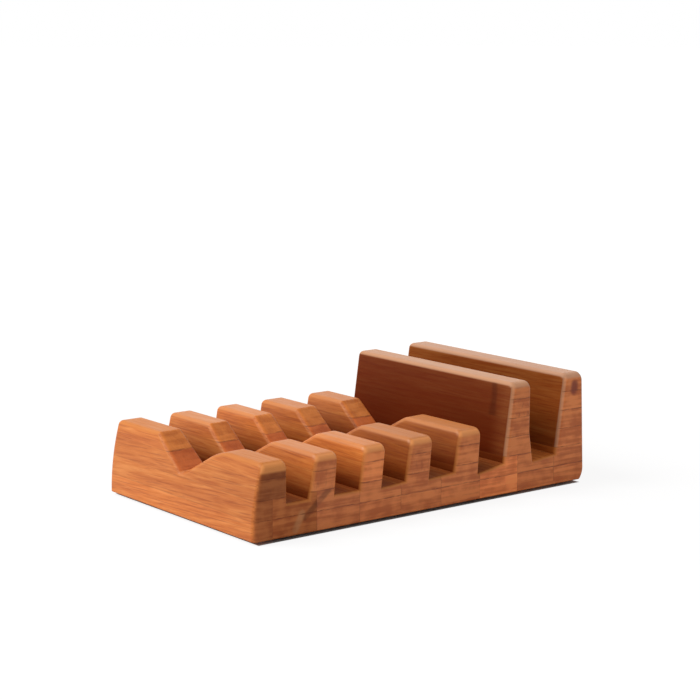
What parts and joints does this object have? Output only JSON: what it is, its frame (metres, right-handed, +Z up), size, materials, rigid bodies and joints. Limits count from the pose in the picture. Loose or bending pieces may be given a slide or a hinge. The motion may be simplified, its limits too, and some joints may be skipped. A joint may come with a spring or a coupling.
{
  "type": "charging station organizer",
  "caption": "Comb-shaped desk organizer of laminated bamboo with open slots between low and tall fins and a shallow notch across the low ones.",
  "frame": {"origin": "on the surface that the organizer stands on, under the middle of the block", "axes": "+Z up, X along the slots, +Y from the low front fin to the tall back fin"},
  "size_m": [0.115, 0.1921, 0.0532],
  "materials": {
    "bamboo": "satin",
    "rubber_foot": "matte"
  },
  "bodies": {
    "root": {"base_layer_1_strip_1": "bamboo", "base_layer_1_strip_2": "bamboo", "base_layer_1_strip_3": "bamboo", "base_layer_1_strip_4": "bamboo", "base_layer_1_strip_5": "bamboo", "base_layer_1_strip_6": "bamboo", "base_layer_1_strip_7": "bamboo", "base_layer_1_strip_8": "bamboo", "base_layer_1_strip_9": "bamboo", "base_layer_2_strip_1": "bamboo", "base_layer_2_strip_2": "bamboo", "base_layer_2_strip_3": "bamboo", "base_layer_2_strip_4": "bamboo", "base_layer_2_strip_5": "bamboo", "base_layer_2_strip_6": "bamboo", "base_layer_2_strip_7": "bamboo", "base_layer_2_strip_8": "bamboo", "base_layer_2_strip_9": "bamboo", "fin_1_layer_3": "bamboo", "fin_1_layer_4_left": "bamboo", "fin_1_layer_4_right": "bamboo", "fin_2_layer_3": "bamboo", "fin_2_layer_4_left": "bamboo", "fin_2_layer_4_right": "bamboo", "fin_3_layer_3": "bamboo", "fin_3_layer_4_left": "bamboo", "fin_3_layer_4_right": "bamboo", "fin_4_layer_3": "bamboo", "fin_4_layer_4_left": "bamboo", "fin_4_layer_4_right": "bamboo", "fin_5_layer_3": "bamboo", "fin_5_layer_4_left": "bamboo", "fin_5_layer_4_right": "bamboo", "fin_6_layer_3": "bamboo", "fin_6_layer_4": "bamboo", "fin_6_layer_5": "bamboo", "fin_6_layer_6": "bamboo", "fin_7_layer_3": "bamboo", "fin_7_layer_4": "bamboo", "fin_7_layer_5": "bamboo", "fin_7_layer_6": "bamboo", "foot_back_left": "rubber_foot", "foot_back_right": "rubber_foot", "foot_front_left": "rubber_foot", "foot_front_right": "rubber_foot"}
  },
  "joints": []
}
